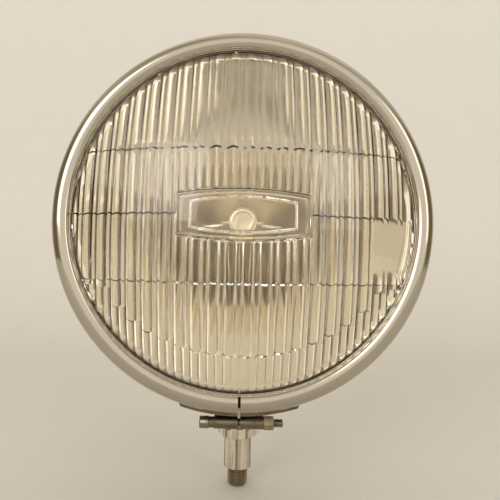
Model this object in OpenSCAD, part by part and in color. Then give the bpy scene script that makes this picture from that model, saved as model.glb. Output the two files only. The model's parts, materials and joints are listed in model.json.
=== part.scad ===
// Round auxiliary car lamp: split chrome rim, fluted sealed-beam glass, steel bowl,
// ball-jointed foot and threaded mounting stud.
// Z is up and the lamp faces -Y. The origin is on the stud, at the long nut's lower face.

/* [Beam unit] */
// Outside diameter of the glass beam unit
unit_d = 146; // [140:1:150]
// How far the dome stands in front of the glass rim
lens_rise = 17.5; // [14:0.5:20]
// Thickness of the lens at the roots of its flutes
lens_wall = 3.2; // [2.8:0.1:3.8]
// Thickness of the lens at its flat edge
lens_edge = 3.4; // [3:0.1:4]
// Width of the flat edge round the dome
edge_flat = 2.2; // [1.8:0.1:2.6]
// Focal length of the reflector
focal = 24; // [22:0.5:27]
// Thickness of the reflector glass
mirror_wall = 3; // [2.5:0.1:3.5]
// Thickness of the reflector's flat edge
mirror_edge = 3.2; // [2.8:0.1:4]
// Radial gap that keeps separate glass and metal faces apart
seat_gap = 0.05; // [0.03:0.01:0.1]

/* [Flutes] */
// Width of one wide flute
flute_w = 6.6; // [5.5:0.1:8]
// Width of one narrow flute
fine_flute_w = 3.3; // [3:0.1:4]
// Number of narrow flutes above the window
fine_flutes = 16; // [12:2:20]
// How far a flute bulges into the lamp
flute_rise = 0.9; // [0.5:0.1:1.2]
// Height of each row of flutes
row_h = 26; // [24:0.5:28]
// Width of the smooth window
window_w = 52; // [44:1:60]
// Height of the smooth window in its middle
window_h = 21; // [18:0.5:24]
// How far the window's top and bottom edges fall towards its ends
window_bow = 2.1; // [1:0.1:3]
// Width of the raised frame line inside the window
frame_line = 1.1; // [0.8:0.1:1.6]
// Distance from the window's end to its frame line
frame_inset = 4.6; // [3.5:0.1:6]
// How deep the window lies below the flute roots
window_sink = 0.35; // [0.2:0.05:0.5]
// Side of the smooth pad at the right of the lens
pad_w = 13.5; // [11:0.5:15]

/* [Rim] */
// How far the rim stands out beyond the glass
rim_stand = 6.5; // [6:0.1:8]
// Radius of the rim's rounded front bead
bead_r = 4.6; // [4:0.1:5]
// Thickness of the rim's sheet
rim_wall = 1; // [0.8:0.1:1.2]
// How far round the bead the sheet is rolled, in degrees
bead_turn = 130; // [120:1:135]
// Depth of the rim's rear lip behind the bowl's flange
rear_lip = 4; // [3:0.1:5]
// Width of the split at the bottom of the rim
split_gap = 1.1; // [0.8:0.1:2]

/* [Clamp] */
// Half width of the two foot plates together
lug_reach = 24; // [21:0.5:28]
// Thickness of a foot plate
lug_wall = 1.9; // [1.5:0.1:2.5]
// Width of a foot plate along the lamp axis
lug_w = 6.4; // [5.5:0.1:7.5]
// Distance from the bead's widest circle to the middle of the foot plates
lug_back = 5; // [4.5:0.1:5.8]
// Outside diameter of a rolled barrel
barrel_d = 5; // [4.6:0.1:5.6]
// Length of a rolled barrel
barrel_l = 9.6; // [8:0.1:12]
// Space between the foot plate and the barrel
barrel_drop = 0.9; // [0.5:0.1:2]
// Thickness of the bridge plate across the split's end
bridge_wall = 0.8; // [0.5:0.1:1]
// Length of the bridge plate
bridge_l = 10.5; // [8:0.5:14]
// Diameter of the clamp screw
screw_d = 3.4; // [3:0.1:3.8]
// Gap between the clamp screw and the holes it passes
screw_fit = 0.08; // [0.04:0.01:0.1]
// Diameter of the clamp screw's head
screw_head_d = 4.9; // [4.4:0.1:6]
// Length of the clamp screw's head
screw_head_l = 4; // [3:0.1:5]
// Length of the collar under the screw's head
collar_l = 2.1; // [1:0.1:3]
// Width across flats of the clamp nut
clamp_nut_af = 5; // [4.6:0.1:6.5]
// Thickness of the clamp nut
clamp_nut_l = 4.2; // [3:0.1:5]
// Length of screw that shows beyond the clamp nut
screw_tail = 3.8; // [3.5:0.1:6]

/* [Bowl] */
// Thickness of the bowl's sheet
bowl_wall = 0.9; // [0.7:0.1:1.2]
// Width of the bowl's turned-out flange
flange_w = 5.8; // [5:0.1:6.2]
// Depth of the bowl behind its flange
bowl_depth = 69; // [66:1:80]
// Roundness of the bowl: 2 is an ellipse, more is fuller
bowl_fullness = 2.2; // [2:0.1:2.6]
// Thickness of the rubber between glass and flange
seal_wall = 1.5; // [1.2:0.1:2]
// Hole through the cable grommet
cable_hole_d = 6.5; // [5:0.5:8]
// Outside diameter of the cable grommet
grommet_d = 15; // [14:0.5:18]
// Height of the grommet's outer shoulder
grommet_h = 3; // [2:0.5:4]
// Depth of the groove that the bowl's sheet sits in
groove_depth = 2; // [1.6:0.1:2.4]
// Thickness of the grommet's lip inside the bowl
grommet_lip = 1.5; // [1:0.1:2]
// How far the grommet's edges taper
lip_taper = 0.6; // [0.4:0.1:0.8]
// Room for the bowl's curve on each side of its sheet, in the groove
groove_room = 0.4; // [0.35:0.05:0.6]
// Place of the grommet round the bowl's profile, in degrees from the flange
grommet_turn = 68; // [64:1:72]

/* [Foot] */
// Distance from the bead's widest circle back to the stud
stud_back = 41; // [38:0.5:44]
// Height of the lamp axis above the long nut's lower face
axis_h = 116.8; // [115:0.2:122]
// Radius of the foot's ball nose
nose_r = 14; // [13:0.25:15]
// Wall thickness of the foot
foot_wall = 2; // [1.6:0.1:2.4]
// Radius of the foot's neck where it meets the bowl
neck_r = 17; // [16:0.5:18]
// Radius of the foot's flange on the bowl
foot_flange_r = 23; // [22:0.5:26]
// Half width of the foot's flange from front to back
foot_flange_half = 18.5; // [18:0.5:20]
// Thickness of the foot's flange
foot_flange_wall = 1.6; // [1.2:0.1:2]
// Gap between the ball nose and the washers that hold it
ball_fit = 0.1; // [0.08:0.01:0.15]
// Greatest tilt of the lamp each way, in degrees
tilt_max = 12; // [8:1:14]
// Distance of the rivets from the foot's middle
rivet_reach = 19.9; // [19.7:0.1:20.5]
// Diameter of a rivet
rivet_d = 3; // [2.5:0.1:3.2]

/* [Stud and nuts] */
// Diameter of the stud
stud_d = 9.525; // [9.2:0.025:9.8]
// Gap between the stud and the holes it passes
stud_fit = 0.08; // [0.04:0.01:0.1]
// Length of stud that shows below the long nut
stud_tail = 8.4; // [6:0.1:20]
// Chamfer at the stud's end
stud_chamfer = 0.9; // [0.5:0.1:1.2]
// Width across flats of the long nut
long_nut_af = 12.7; // [12.4:0.1:14]
// Length of the long nut
long_nut_l = 14.7; // [10:0.1:20]
// Angle that the long nut is turned to, in degrees: at 30 a corner faces front
long_nut_angle = 26; // [0:1:60]
// Width across flats of the lock nut
lock_nut_af = 17.46; // [16:0.02:18]
// Thickness of the lock nut
lock_nut_l = 5; // [4.5:0.1:7]
// Angle that the lock nut is turned to, in degrees: at 0 or 60 a flat faces front
lock_nut_angle = 54; // [0:1:60]
// Thickness of the lock washer
lock_washer_l = 1; // [0.8:0.1:2]
// Outside diameter of the lock washer
lock_washer_d = 17; // [15:0.5:19]
// Thickness of the saddle washer under the ball nose
saddle_wall = 2.8; // [2.2:0.1:4]
// Outside radius of the saddle washer
saddle_r = 11.2; // [11:0.1:12]
// Width across flats of the stud's head
stud_head_af = 13.6; // [12.6:0.1:14]
// Thickness of the stud's head
stud_head_l = 5; // [4:0.1:6]
// Thickness of the seat washer under the stud's head
seat_wall = 3.4; // [3:0.1:4]

/* [Light source] */
// Diameter of the shield cup in front of the filament
shield_d = 13; // [11:0.5:15]
// Depth of the shield cup
shield_depth = 6; // [4:0.5:8]
// Thickness of the shield's metal
shield_wall = 0.5; // [0.4:0.1:0.7]
// How far the stem's foot stands beyond the shield's edge
stem_reach = 6; // [5:0.5:8]
// How far the stem runs straight in front of and behind the shield's edge
stem_straight = 1; // [0.8:0.1:1.4]
// Distance from the filament to the shield's back edge
shield_space = 3.2; // [2:0.2:5]
// Length of the filament coil
filament_l = 5; // [4:0.5:7]
// Number of turns of the filament coil
filament_turns = 7; // [5:1:7]
// Distance between the two terminals
terminal_pitch = 19; // [16:1:22]
// Diameter of a terminal cup
cup_d = 8.4; // [8:0.1:10]
// Height of a terminal cup
cup_h = 2.5; // [2:0.1:3]
// Width of a terminal blade
blade_w = 6.3; // [4.8:0.1:6.3]
// Length of a terminal blade
blade_l = 7.5; // [6:0.5:8]
// Thickness of a terminal blade
blade_wall = 0.8; // [0.6:0.1:1]
// Diameter of the wires inside the glass
wire_d = 1.4; // [1.2:0.1:1.8]

/* [Hidden] */
$fn = 96;

// Depths along the lamp axis, from the bead's widest circle backwards
lens_back = lens_edge;
mirror_back = lens_back + seat_gap + mirror_edge;
flange_front = mirror_back + seal_wall;
flange_back = flange_front + bowl_wall;
rim_back = flange_back + 2 * seat_gap + rim_wall;

// Radii about the lamp axis
unit_r = unit_d / 2;
rim_r = unit_r + rim_stand;
bead_mid_r = rim_r - bead_r;
dome_r = unit_r - edge_flat;
flange_r = rim_r - rim_wall - 0.7;
bowl_r = flange_r - flange_w;

// The dome is part of a sphere through its edge and its apex
dome_ball = (dome_r ^ 2 + lens_rise ^ 2) / (2 * lens_rise);
dome_mid = dome_ball - lens_rise;

// Heights along the stud, from the long nut's lower face upwards
lock_nut_z = long_nut_l + seat_gap;
washer_z = lock_nut_z + lock_nut_l + seat_gap;
saddle_z = washer_z + lock_washer_l + seat_gap;
nose_z = saddle_z + saddle_wall;
pivot_z = nose_z + ball_fit + nose_r;
cavity_r = nose_r - foot_wall;
seat_z = pivot_z - cavity_r + ball_fit;
head_z = seat_z + seat_wall + seat_gap;

echo(pivot_z = pivot_z, rim_r = rim_r, rim_back = rim_back, mirror_depth = mirror_depth);
echo(grommet_r = bowl_at(grommet_turn)[0], grommet_t = bowl_at(grommet_turn)[1],
     grommet_lean = bowl_lean(grommet_turn));

// Points of an arc with its centre at c
function arc(c, r, from, to, steps) = [
  for (i = [0:steps]) let (a = from + (to - from) * i / steps)
    [c[0] + r * cos(a), c[1] + r * sin(a)]
];

// The bowl's outline is a superellipse; extra moves it outwards
function bowl_at(a, extra = 0) = [
  (bowl_r + extra) * cos(a) ^ (2 / bowl_fullness),
  flange_back + (bowl_depth + extra) * sin(a) ^ (2 / bowl_fullness)
];

// Angle between the lamp axis and the bowl's outward normal
function bowl_lean(a) =
  let (p = bowl_at(a), k = bowl_fullness - 1)
  atan2((p[0] / bowl_r) ^ k / bowl_r, ((p[1] - flange_back) / bowl_depth) ^ k / bowl_depth);

// Place of the stud round the bowl's outline
foot_turn = asin(((stud_back - flange_back) / bowl_depth) ^ (bowl_fullness / 2));

// Moves children from the lamp's own frame to the part's: there, z runs back along the
// lamp axis from the bead's widest circle, and y points down to the foot
module on_axis() {
  translate([0, -stud_back, axis_h]) rotate([-90, 0, 0]) children();
}

// Sets children on the bowl's outside, with z along its outward normal
module on_bowl(turn) {
  p = bowl_at(turn);
  translate([0, p[0], p[1]]) rotate([-bowl_lean(turn), 0, 0]) children();
}

// A straight round rod from one point to another
module rod(from, to, r) {
  way = to - from;
  turn = atan2(way[1], way[0]);
  lean = acos(way[2] / norm(way));
  translate(from) rotate([0, lean, turn]) cylinder(h = norm(way), r = r);
}

// Hexagon prism with its corners chamfered at both ends, given across its flats
module hexagon(af, h) {
  corner_r = af / 2 / cos(30);
  tip = corner_r - af / 2 * 0.98;
  intersection() {
    cylinder(h = h, r = corner_r, $fn = 6);
    rotate_extrude() polygon([
      [0, 0], [corner_r - tip, 0], [corner_r, tip * 0.58],
      [corner_r, h - tip * 0.58], [corner_r - tip, h], [0, h]
    ]);
  }
}

module clamp_rim() {
  bead_steps = 18;
  color("gainsboro") on_axis() difference() {
    rotate_extrude() polygon(concat(
      [[rim_r - rear_lip - rim_wall, rim_back], [rim_r - 1, rim_back], [rim_r, rim_back - 1]],
      arc([bead_mid_r, 0], bead_r, 0, -bead_turn, bead_steps),
      [[bead_mid_r + bead_r * cos(bead_turn), -seat_gap],
       [bead_mid_r + bead_r * cos(bead_turn) + rim_wall, -seat_gap]],
      arc([bead_mid_r, 0], bead_r - rim_wall, -bead_turn, 0, bead_steps),
      [[rim_r - rim_wall, rim_back - rim_wall],
       [rim_r - rear_lip - rim_wall, rim_back - rim_wall]]
    ));
    translate([-split_gap / 2, 0, -bead_r - 1]) cube([split_gap, rim_r + 1, rim_back + bead_r + 2]);
  }
}

// Places shared by the lugs and the clamp screw
plate_r = rim_r + 0.02;
barrel_y = plate_r + lug_wall + barrel_drop + barrel_d / 2;
barrel_far = split_gap / 2 + barrel_l;

// One foot plate with its rolled barrel, drawn on the +X side
module lug() {
  plate_front = lug_back - lug_w / 2;
  tip_slope = 0.4;
  difference() {
    union() {
      translate([0, 0, plate_front]) intersection() {
        cylinder(h = lug_w, r = plate_r + lug_wall);
        linear_extrude(lug_w) polygon([
          [split_gap / 2, 0], [split_gap / 2, rim_r * 1.2],
          [lug_reach - rim_r * 0.2 * tip_slope, rim_r * 1.2], [lug_reach + 1, rim_r * 0.95],
          [lug_reach + 1, 0]
        ]);
      }
      translate([split_gap / 2, barrel_y, lug_back]) rotate([0, 90, 0])
        cylinder(h = barrel_l, d = barrel_d);
      translate([split_gap / 2, plate_r + lug_wall / 2, lug_back + barrel_d * 0.22])
        cube([barrel_l, barrel_y - plate_r - lug_wall / 2, barrel_d * 0.24]);
    }
    translate([0, 0, plate_front - 1]) cylinder(h = lug_w + 2, r = plate_r);
    translate([0, barrel_y, lug_back]) rotate([0, 90, 0])
      cylinder(h = barrel_l * 2, d = screw_d + 2 * screw_fit);
  }
}

module left_lug() {
  color("lightgray") on_axis() mirror([1, 0, 0]) lug();
}

module right_lug() {
  color("lightgray") on_axis() difference() {
    lug();
    bridge_sector(seat_gap);
  }
}

// Ring sector of the bridge plate, grown all round by extra
module bridge_sector(extra = 0) {
  translate([0, 0, lug_back - lug_w / 2 + 0.6 - extra]) intersection() {
    difference() {
      cylinder(h = lug_w - 1.2 + 2 * extra, r = plate_r + bridge_wall + extra);
      translate([0, 0, -1]) cylinder(h = lug_w + 2, r = plate_r - extra);
    }
    translate([split_gap / 2 - extra * 4, rim_r / 2, -1])
      cube([bridge_l + extra * 5, rim_r, lug_w + 4]);
  }
}

module bridge_plate() {
  color("silver") on_axis() bridge_sector();
}

// Clamp screw, with its head on the left
collar_far = barrel_far + seat_gap + collar_l;
head_far = collar_far + seat_gap + screw_head_l;
nut_near = barrel_far + seat_gap;

module clamp_screw() {
  slot_w = screw_head_d * 0.2;
  color("darkgray") on_axis() translate([0, barrel_y, lug_back]) difference() {
    union() {
      translate([-head_far, 0, 0]) rotate([0, 90, 0]) cylinder(h = screw_head_l, d = screw_head_d);
      translate([-head_far + 0.5, 0, 0]) rotate([0, 90, 0])
        cylinder(h = head_far - 0.5 + nut_near + clamp_nut_l + screw_tail, d = screw_d);
    }
    translate([-head_far - 1, -screw_head_d, -slot_w / 2])
      cube([1 + screw_head_l * 0.35, 2 * screw_head_d, slot_w]);
  }
}

module screw_collar() {
  color("silver") on_axis() translate([-collar_far, barrel_y, lug_back]) rotate([0, 90, 0])
    difference() {
      cylinder(h = collar_l, d = barrel_d - 0.6);
      translate([0, 0, -1]) cylinder(h = collar_l + 2, d = screw_d + 2 * screw_fit);
    }
}

module clamp_nut() {
  color("tan") on_axis() translate([nut_near, barrel_y, lug_back]) rotate([0, 90, 0])
    difference() {
      hexagon(clamp_nut_af, clamp_nut_l);
      translate([0, 0, -1]) cylinder(h = clamp_nut_l + 2, d = screw_d + 2 * screw_fit);
    }
}

// Inner radius of the lens cavity, just inside the fused edge
cavity_lens_r = unit_r - 5.4;

// Height of the sphere's inner face at distance d from the axis, for a wall of glass
function inner_dome(d, wall) = dome_mid - sqrt((dome_ball - wall) ^ 2 - d ^ 2);

// Back outline of a run of equal flutes, which bulge backwards from the curved root line
function flute_run(z_mid, wide, start, count) = [
  for (i = [0:count - 1], u = [0, 0.18, 0.5, 0.82]) let (
    x = start + (i + u) * wide,
    d = min(norm([x, z_mid]), dome_ball * 0.7)
  ) [x, inner_dome(d, lens_wall) - inner_dome(z_mid, lens_wall) + flute_rise * 4 * u * (1 - u)]
];

// Number of flutes of one width that reaches past the cavity from distance from
function flutes_past(wide, from = 0) = ceil((cavity_lens_r - from) / wide) + 1;

// A whole row of equal flutes
function even_row(z_mid, wide) =
  let (count = flutes_past(wide)) flute_run(z_mid, wide, -count * wide, 2 * count);

// A row with narrow flutes over the window and wide ones at both sides
function mixed_row(z_mid) = let (
    half = fine_flutes / 2 * fine_flute_w,
    count = flutes_past(flute_w, half)
  ) concat(
    flute_run(z_mid, flute_w, -half - count * flute_w, count),
    flute_run(z_mid, fine_flute_w, -half, fine_flutes),
    flute_run(z_mid, flute_w, half, count)
  );

// Space behind one straight stretch of a row of flutes, from height z1 up to z2
module row_space(z1, z2, line) {
  t1 = inner_dome(z1, lens_wall);
  t2 = inner_dome(z2, lens_wall);
  deep = lens_rise + lens_edge + 12;
  side = line[len(line) - 1][0];
  start = line[0][0];
  length = norm([z2 - z1, t2 - t1]);
  translate([0, -z1, t1]) rotate([atan2(z2 - z1, t2 - t1), 0, 0])
    linear_extrude(length) polygon(concat(line, [[side, deep], [start, deep]]));
}

// Outline of the window, grown or shrunk all round by extra
module window_shape(extra = 0) {
  half_w = window_w / 2 + extra;
  half_h = window_h / 2 + extra;
  steps = 8;
  polygon(concat(
    [for (i = [-steps:steps]) let (u = i / steps) [half_w * u, half_h - window_bow * u ^ 2]],
    [for (i = [-steps:steps]) let (u = -i / steps) [half_w * u, -half_h + window_bow * u ^ 2]]
  ));
}

// Space behind the smooth window and the smooth pad
module smooth_space() {
  deep = 2 * lens_rise + lens_edge;
  intersection() {
    translate([0, 0, dome_mid]) sphere(dome_ball - lens_wall + 0.1);
    union() {
      translate([0, 0, -lens_rise]) linear_extrude(deep) window_shape();
      translate([cavity_lens_r - 1.6 * pad_w, 0, -lens_rise])
        cube([pad_w, 1.8 * pad_w, deep]);
    }
  }
  intersection() {
    translate([0, 0, dome_mid]) sphere(dome_ball - lens_wall + 0.1 + window_sink);
    translate([0, 0, -lens_rise]) linear_extrude(deep) difference() {
      window_shape(-0.8);
      difference() {
        window_shape(-frame_inset + frame_line);
        window_shape(-frame_inset);
      }
    }
  }
}

module front_lens() {
  dome_edge_turn = asin(dome_r / dome_ball);
  edge_chamfer = 0.3;
  upper_z = row_h * 1.85;
  color("lightyellow", 0.6) on_axis() difference() {
    rotate_extrude() polygon(concat(
      [[0, lens_back], [unit_r, lens_back], [unit_r, edge_chamfer], [unit_r - edge_chamfer, 0]],
      arc([0, dome_mid], dome_ball, -90 + dome_edge_turn, -90, 24)
    ));
    intersection() {
      cylinder(h = 3 * lens_rise, r = cavity_lens_r, center = true);
      union() {
        row_space(row_h, upper_z, even_row((row_h + upper_z) / 2, flute_w));
        row_space(upper_z, cavity_lens_r, even_row((upper_z + cavity_lens_r) / 2, flute_w));
        row_space(0, row_h, mixed_row(row_h / 2));
        row_space(-row_h, 0, even_row(-row_h / 2, flute_w));
        row_space(-2 * row_h, -row_h, even_row(-1.5 * row_h, flute_w));
        row_space(-cavity_lens_r, -2 * row_h, even_row(-row_h - cavity_lens_r / 2, fine_flute_w));
        smooth_space();
      }
    }
  }
}

// The reflector is a paraboloid whose focus carries the filament
mirror_rim_r = unit_r - 4.2;
mirror_front = lens_back + seat_gap;
mirror_depth = mirror_front + mirror_rim_r ^ 2 / (4 * focal);
focus_t = mirror_depth - focal;
boss_t = mirror_depth + mirror_wall + 1.4;

// Point of the paraboloid at radius r, moved back by extra
function mirror_at(r, extra = 0) = [r, mirror_depth + extra - r ^ 2 / (4 * focal)];

module reflector() {
  steps = 16;
  outer_r = sqrt(4 * focal * (mirror_depth + mirror_wall - mirror_back));
  color("whitesmoke") on_axis() difference() {
    union() {
      rotate_extrude() polygon(concat(
        [for (i = [0:steps]) mirror_at(mirror_rim_r * i / steps)],
        [[unit_r, mirror_front], [unit_r, mirror_back]],
        [for (i = [steps:-1:0]) mirror_at(min(outer_r, unit_r - 1.2) * i / steps, mirror_wall)]
      ));
      for (side = [-1, 1])
        translate([side * terminal_pitch / 2, 0, mirror_depth + mirror_wall / 2])
          cylinder(h = boss_t - mirror_depth - mirror_wall / 2, d = cup_d + 2);
    }
    for (side = [-1, 1])
      translate([side * terminal_pitch / 2, 0, focus_t])
        cylinder(h = boss_t, d = wire_d + 2 * seat_gap);
  }
}

// Filament coil swept along a helix on the X axis, with six-sided wire
module filament() {
  wire_r = 0.13;
  coil_r = 0.75;
  rings = filament_turns * 8;
  sides = 6;
  points = [
    for (i = [0:rings], j = [0:sides - 1]) let (
      a = 360 * i / 8,
      b = 360 * j / sides,
      r = coil_r + wire_r * cos(b)
    ) [filament_l * (i / rings - 0.5) + wire_r * sin(b), r * cos(a), r * sin(a)]
  ];
  walls = [
    for (i = [0:rings - 1], j = [0:sides - 1]) let (k = (j + 1) % sides)
      each [[i * sides + j, i * sides + k, (i + 1) * sides + k],
            [i * sides + j, (i + 1) * sides + k, (i + 1) * sides + j]]
  ];
  ends = [
    [for (j = [sides - 1:-1:0]) j],
    [for (j = [0:sides - 1]) rings * sides + j]
  ];
  least_gap = filament_l / filament_turns - 2 * wire_r;
  echo(filament_least_gap = least_gap);
  color("dimgray") on_axis() translate([0, 0, focus_t])
    polyhedron(points, concat(walls, ends));
}

module filament_posts() {
  r = wire_d / 2;
  bend_t = focus_t + 8;
  color("silver") on_axis() for (side = [-1, 1]) {
    out = side * terminal_pitch / 2;
    tip = side * (filament_l / 2 + 0.35 + r);
    rod([out, 0, bend_t], [out, 0, boss_t - seat_gap], r);
    translate([out, 0, bend_t]) sphere(r * 1.12);
    rod([out, 0, bend_t], [tip, 0, focus_t], r);
    translate([tip, 0, focus_t]) sphere(r * 1.12);
  }
}

shield_back = focus_t - shield_space;

module filament_shield() {
  r = shield_d / 2;
  inner_r = r - shield_wall;
  front = shield_back - shield_depth;
  color("burlywood") on_axis() rotate_extrude() polygon(concat(
    [[0, front]],
    [for (i = [1:8]) [r * sin(i * 90 / 8), front + shield_depth * 0.7 * (1 - cos(i * 90 / 8))]],
    [[r, shield_back], [inner_r, shield_back]],
    [for (i = [8:-1:0]) [inner_r * sin(i * 90 / 8),
                         front + shield_wall + shield_depth * 0.7 * (1 - cos(i * 90 / 8))]]
  ));
}

module shield_stem() {
  r = wire_d * 0.4;
  foot_y = shield_d / 2 + stem_reach;
  top_y = shield_d / 2 - shield_wall - r - seat_gap;
  top = [0, top_y, shield_back - stem_straight];
  bend = [0, top_y, shield_back + stem_straight];
  foot = [0, foot_y, mirror_at(foot_y + r)[1] - 0.2];
  color("silver") on_axis() {
    rod(top, bend, r);
    translate(bend) sphere(r * 1.12);
    rod(bend, foot, r);
  }
}

module terminal_cups() {
  color("lightgray") on_axis() for (side = [-1, 1])
    translate([side * terminal_pitch / 2, 0, boss_t + seat_gap / 2])
      cylinder(h = cup_h, d = cup_d);
}

module terminal_blades() {
  color("goldenrod") on_axis() for (side = [-1, 1])
    translate([side * terminal_pitch / 2, 0, boss_t + seat_gap + cup_h]) difference() {
      translate([-blade_wall / 2, -blade_w / 2, 0]) cube([blade_wall, blade_w, blade_l]);
      translate([-blade_wall, 0, blade_l * 0.6]) rotate([0, 90, 0])
        cylinder(h = 2 * blade_wall, d = 1.6);
    }
}

module seal_ring() {
  collar_in = unit_r + 0.1;
  collar_out = flange_r;
  inner = bowl_r - bowl_wall - 0.8;
  color("dimgray") on_axis() rotate_extrude() polygon([
    [inner, mirror_back + 0.02], [collar_in, mirror_back + 0.02], [collar_in, 1],
    [collar_out, 1], [collar_out, flange_front - 0.02], [inner, flange_front - 0.02]
  ]);
}

module lamp_bowl() {
  steps = 24;
  color("lightgray") on_axis() difference() {
    rotate_extrude() polygon(concat(
      [for (i = [0:steps]) bowl_at(i * 90 / steps)],
      [for (i = [steps:-1:0]) bowl_at(i * 90 / steps, -bowl_wall)],
      [[bowl_r - bowl_wall, flange_front], [flange_r, flange_front], [flange_r, flange_back]]
    ));
    translate([0, bowl_r / 2, stud_back]) rotate([-90, 0, 0])
      cylinder(h = bowl_r, r = cavity_r + 0.4);
    for (side = [-1, 1]) at_rivet(side)
      cylinder(h = 4 * rivet_d, d = rivet_d + 2 * seat_gap, center = true);
    on_bowl(grommet_turn)
      cylinder(h = grommet_d, d = grommet_d - 2 * groove_depth, center = true);
  }
}

module cable_grommet() {
  inner_r = grommet_d / 2 - groove_room;
  inner_end = -bowl_wall - groove_room - grommet_lip;
  outer_end = groove_room + grommet_h;
  groove_in = grommet_d / 2 - groove_depth - seat_gap;
  color("dimgray") on_axis() on_bowl(grommet_turn) rotate_extrude() polygon([
    [cable_hole_d / 2, inner_end], [inner_r - lip_taper, inner_end],
    [inner_r, -bowl_wall - groove_room], [groove_in, -bowl_wall - groove_room],
    [groove_in, groove_room], [grommet_d / 2, groove_room],
    [grommet_d / 2 - lip_taper, groove_room + grommet_h * 0.6],
    [grommet_d / 2 - groove_depth, outer_end], [cable_hole_d / 2, outer_end]
  ]);
}

// Solid form of the bowl's outside, grown by extra
module bowl_form(extra) {
  steps = 24;
  on_axis() rotate_extrude() polygon(concat(
    [[0, flange_back], [bowl_r + extra, flange_back]],
    [for (i = [1:steps]) bowl_at(i * 90 / steps, extra)]
  ));
}

// Sets children at a rivet of the foot, with z along the bowl's normal
module at_rivet(side) {
  rotate([0, 0, side * asin(rivet_reach / bowl_at(foot_turn)[0])]) on_bowl(foot_turn) children();
}

// The inner seat's square tongue keys it in the foot's slot
tongue_half = stud_d / 2 + stud_fit + 0.85;
tongue_fit = 0.1;

module mounting_foot() {
  steps = 12;
  neck_top = axis_h - bowl_r / 2;
  slot_half = tongue_half * cos(tilt_max) + nose_r * sin(tilt_max) + 0.3;
  color("silver") difference() {
    union() {
      rotate_extrude() polygon(concat(
        arc([0, pivot_z], nose_r, -90, 0, steps),
        [[neck_r, axis_h - bowl_at(foot_turn)[0]], [neck_r, neck_top], [0, neck_top]]
      ));
      intersection() {
        bowl_form(foot_flange_wall);
        translate([0, 0, pivot_z]) cylinder(h = axis_h - pivot_z - bowl_r / 2, r = foot_flange_r);
        translate([-foot_flange_r, -foot_flange_half, pivot_z])
          cube([2 * foot_flange_r, 2 * foot_flange_half, axis_h]);
      }
    }
    bowl_form(0.03);
    rotate_extrude() polygon(concat(
      arc([0, pivot_z], cavity_r, -90, 0, steps),
      [[cavity_r, neck_top + 1], [0, neck_top + 1]]
    ));
    translate([-tongue_half - tongue_fit, -slot_half, 0])
      cube([2 * (tongue_half + tongue_fit), 2 * slot_half, pivot_z - cavity_r / 3]);
    on_axis() for (side = [-1, 1]) at_rivet(side)
      translate([0, 0, -5]) cylinder(h = 10, d = rivet_d + 2 * seat_gap);
  }
}

module foot_rivets() {
  head_h = 1.1;
  color("lightgray") on_axis() for (side = [-1, 1]) at_rivet(side) {
    translate([0, 0, -bowl_wall - 1]) cylinder(h = bowl_wall + foot_flange_wall + 2, d = rivet_d);
    translate([0, 0, foot_flange_wall + 0.15]) cylinder(h = head_h, r1 = rivet_d * 0.8, r2 = rivet_d * 0.5);
    translate([0, 0, -bowl_wall - 0.35 - head_h]) cylinder(h = head_h, r = rivet_d * 0.8);
  }
}

module inner_seat() {
  steps = 8;
  r = cavity_r - ball_fit;
  top = seat_z + seat_wall;
  top_turn = -asin((pivot_z - top) / r);
  color("gray") difference() {
    union() {
      rotate_extrude() polygon(concat(
        arc([0, pivot_z], r, -90, top_turn, steps), [[0, top]]
      ));
      intersection() {
        translate([-tongue_half, -tongue_half, pivot_z - nose_r])
          cube([2 * tongue_half, 2 * tongue_half, top - pivot_z + nose_r - 0.5]);
        translate([0, 0, pivot_z]) sphere(nose_r - 0.25);
      }
    }
    translate([0, 0, nose_z - 5]) cylinder(h = 20, d = stud_d + 2 * stud_fit);
  }
}

module outer_saddle() {
  steps = 8;
  r = nose_r + ball_fit;
  turn = acos(saddle_r / r);
  color("silver") difference() {
    rotate_extrude() polygon(concat(
      [[0, saddle_z], [saddle_r - 1.4, saddle_z], [saddle_r, saddle_z + 1.4]],
      arc([0, pivot_z], r, -turn, -90, steps)
    ));
    translate([0, 0, saddle_z - 1]) cylinder(h = saddle_wall + 4, d = stud_d + 2 * stud_fit);
  }
}

module lock_washer() {
  teeth = 12;
  color("gray") translate([0, 0, washer_z]) difference() {
    cylinder(h = lock_washer_l, d = lock_washer_d);
    translate([0, 0, -1]) cylinder(h = lock_washer_l + 2, d = stud_d + 2 * stud_fit);
    for (i = [0:teeth - 1]) rotate([0, 0, i * 360 / teeth])
      translate([lock_washer_d / 2 - 1.3, -0.5, -1]) cube([3, 1, lock_washer_l + 2]);
  }
}

module swivel_stud() {
  r = stud_d / 2;
  relief = 0.25;
  tail_top = relief * 2;
  color("darkgray") union() {
    rotate_extrude() polygon([
      [0, -stud_tail], [r - stud_chamfer, -stud_tail], [r, -stud_tail + stud_chamfer],
      [r, 0], [r - relief, relief], [r - relief, tail_top], [r, tail_top + relief],
      [r, head_z + 0.5], [0, head_z + 0.5]
    ]);
    translate([0, 0, head_z]) hexagon(stud_head_af, stud_head_l);
  }
}

module lock_nut() {
  color("silver") translate([0, 0, lock_nut_z]) rotate([0, 0, lock_nut_angle]) difference() {
    hexagon(lock_nut_af, lock_nut_l);
    translate([0, 0, -1]) cylinder(h = lock_nut_l + 2, d = stud_d + 2 * stud_fit);
  }
}

module long_nut() {
  color("gainsboro") rotate([0, 0, long_nut_angle]) difference() {
    hexagon(long_nut_af, long_nut_l);
    translate([0, 0, -1]) cylinder(h = long_nut_l + 2, d = stud_d + 2 * stud_fit);
  }
}

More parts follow.
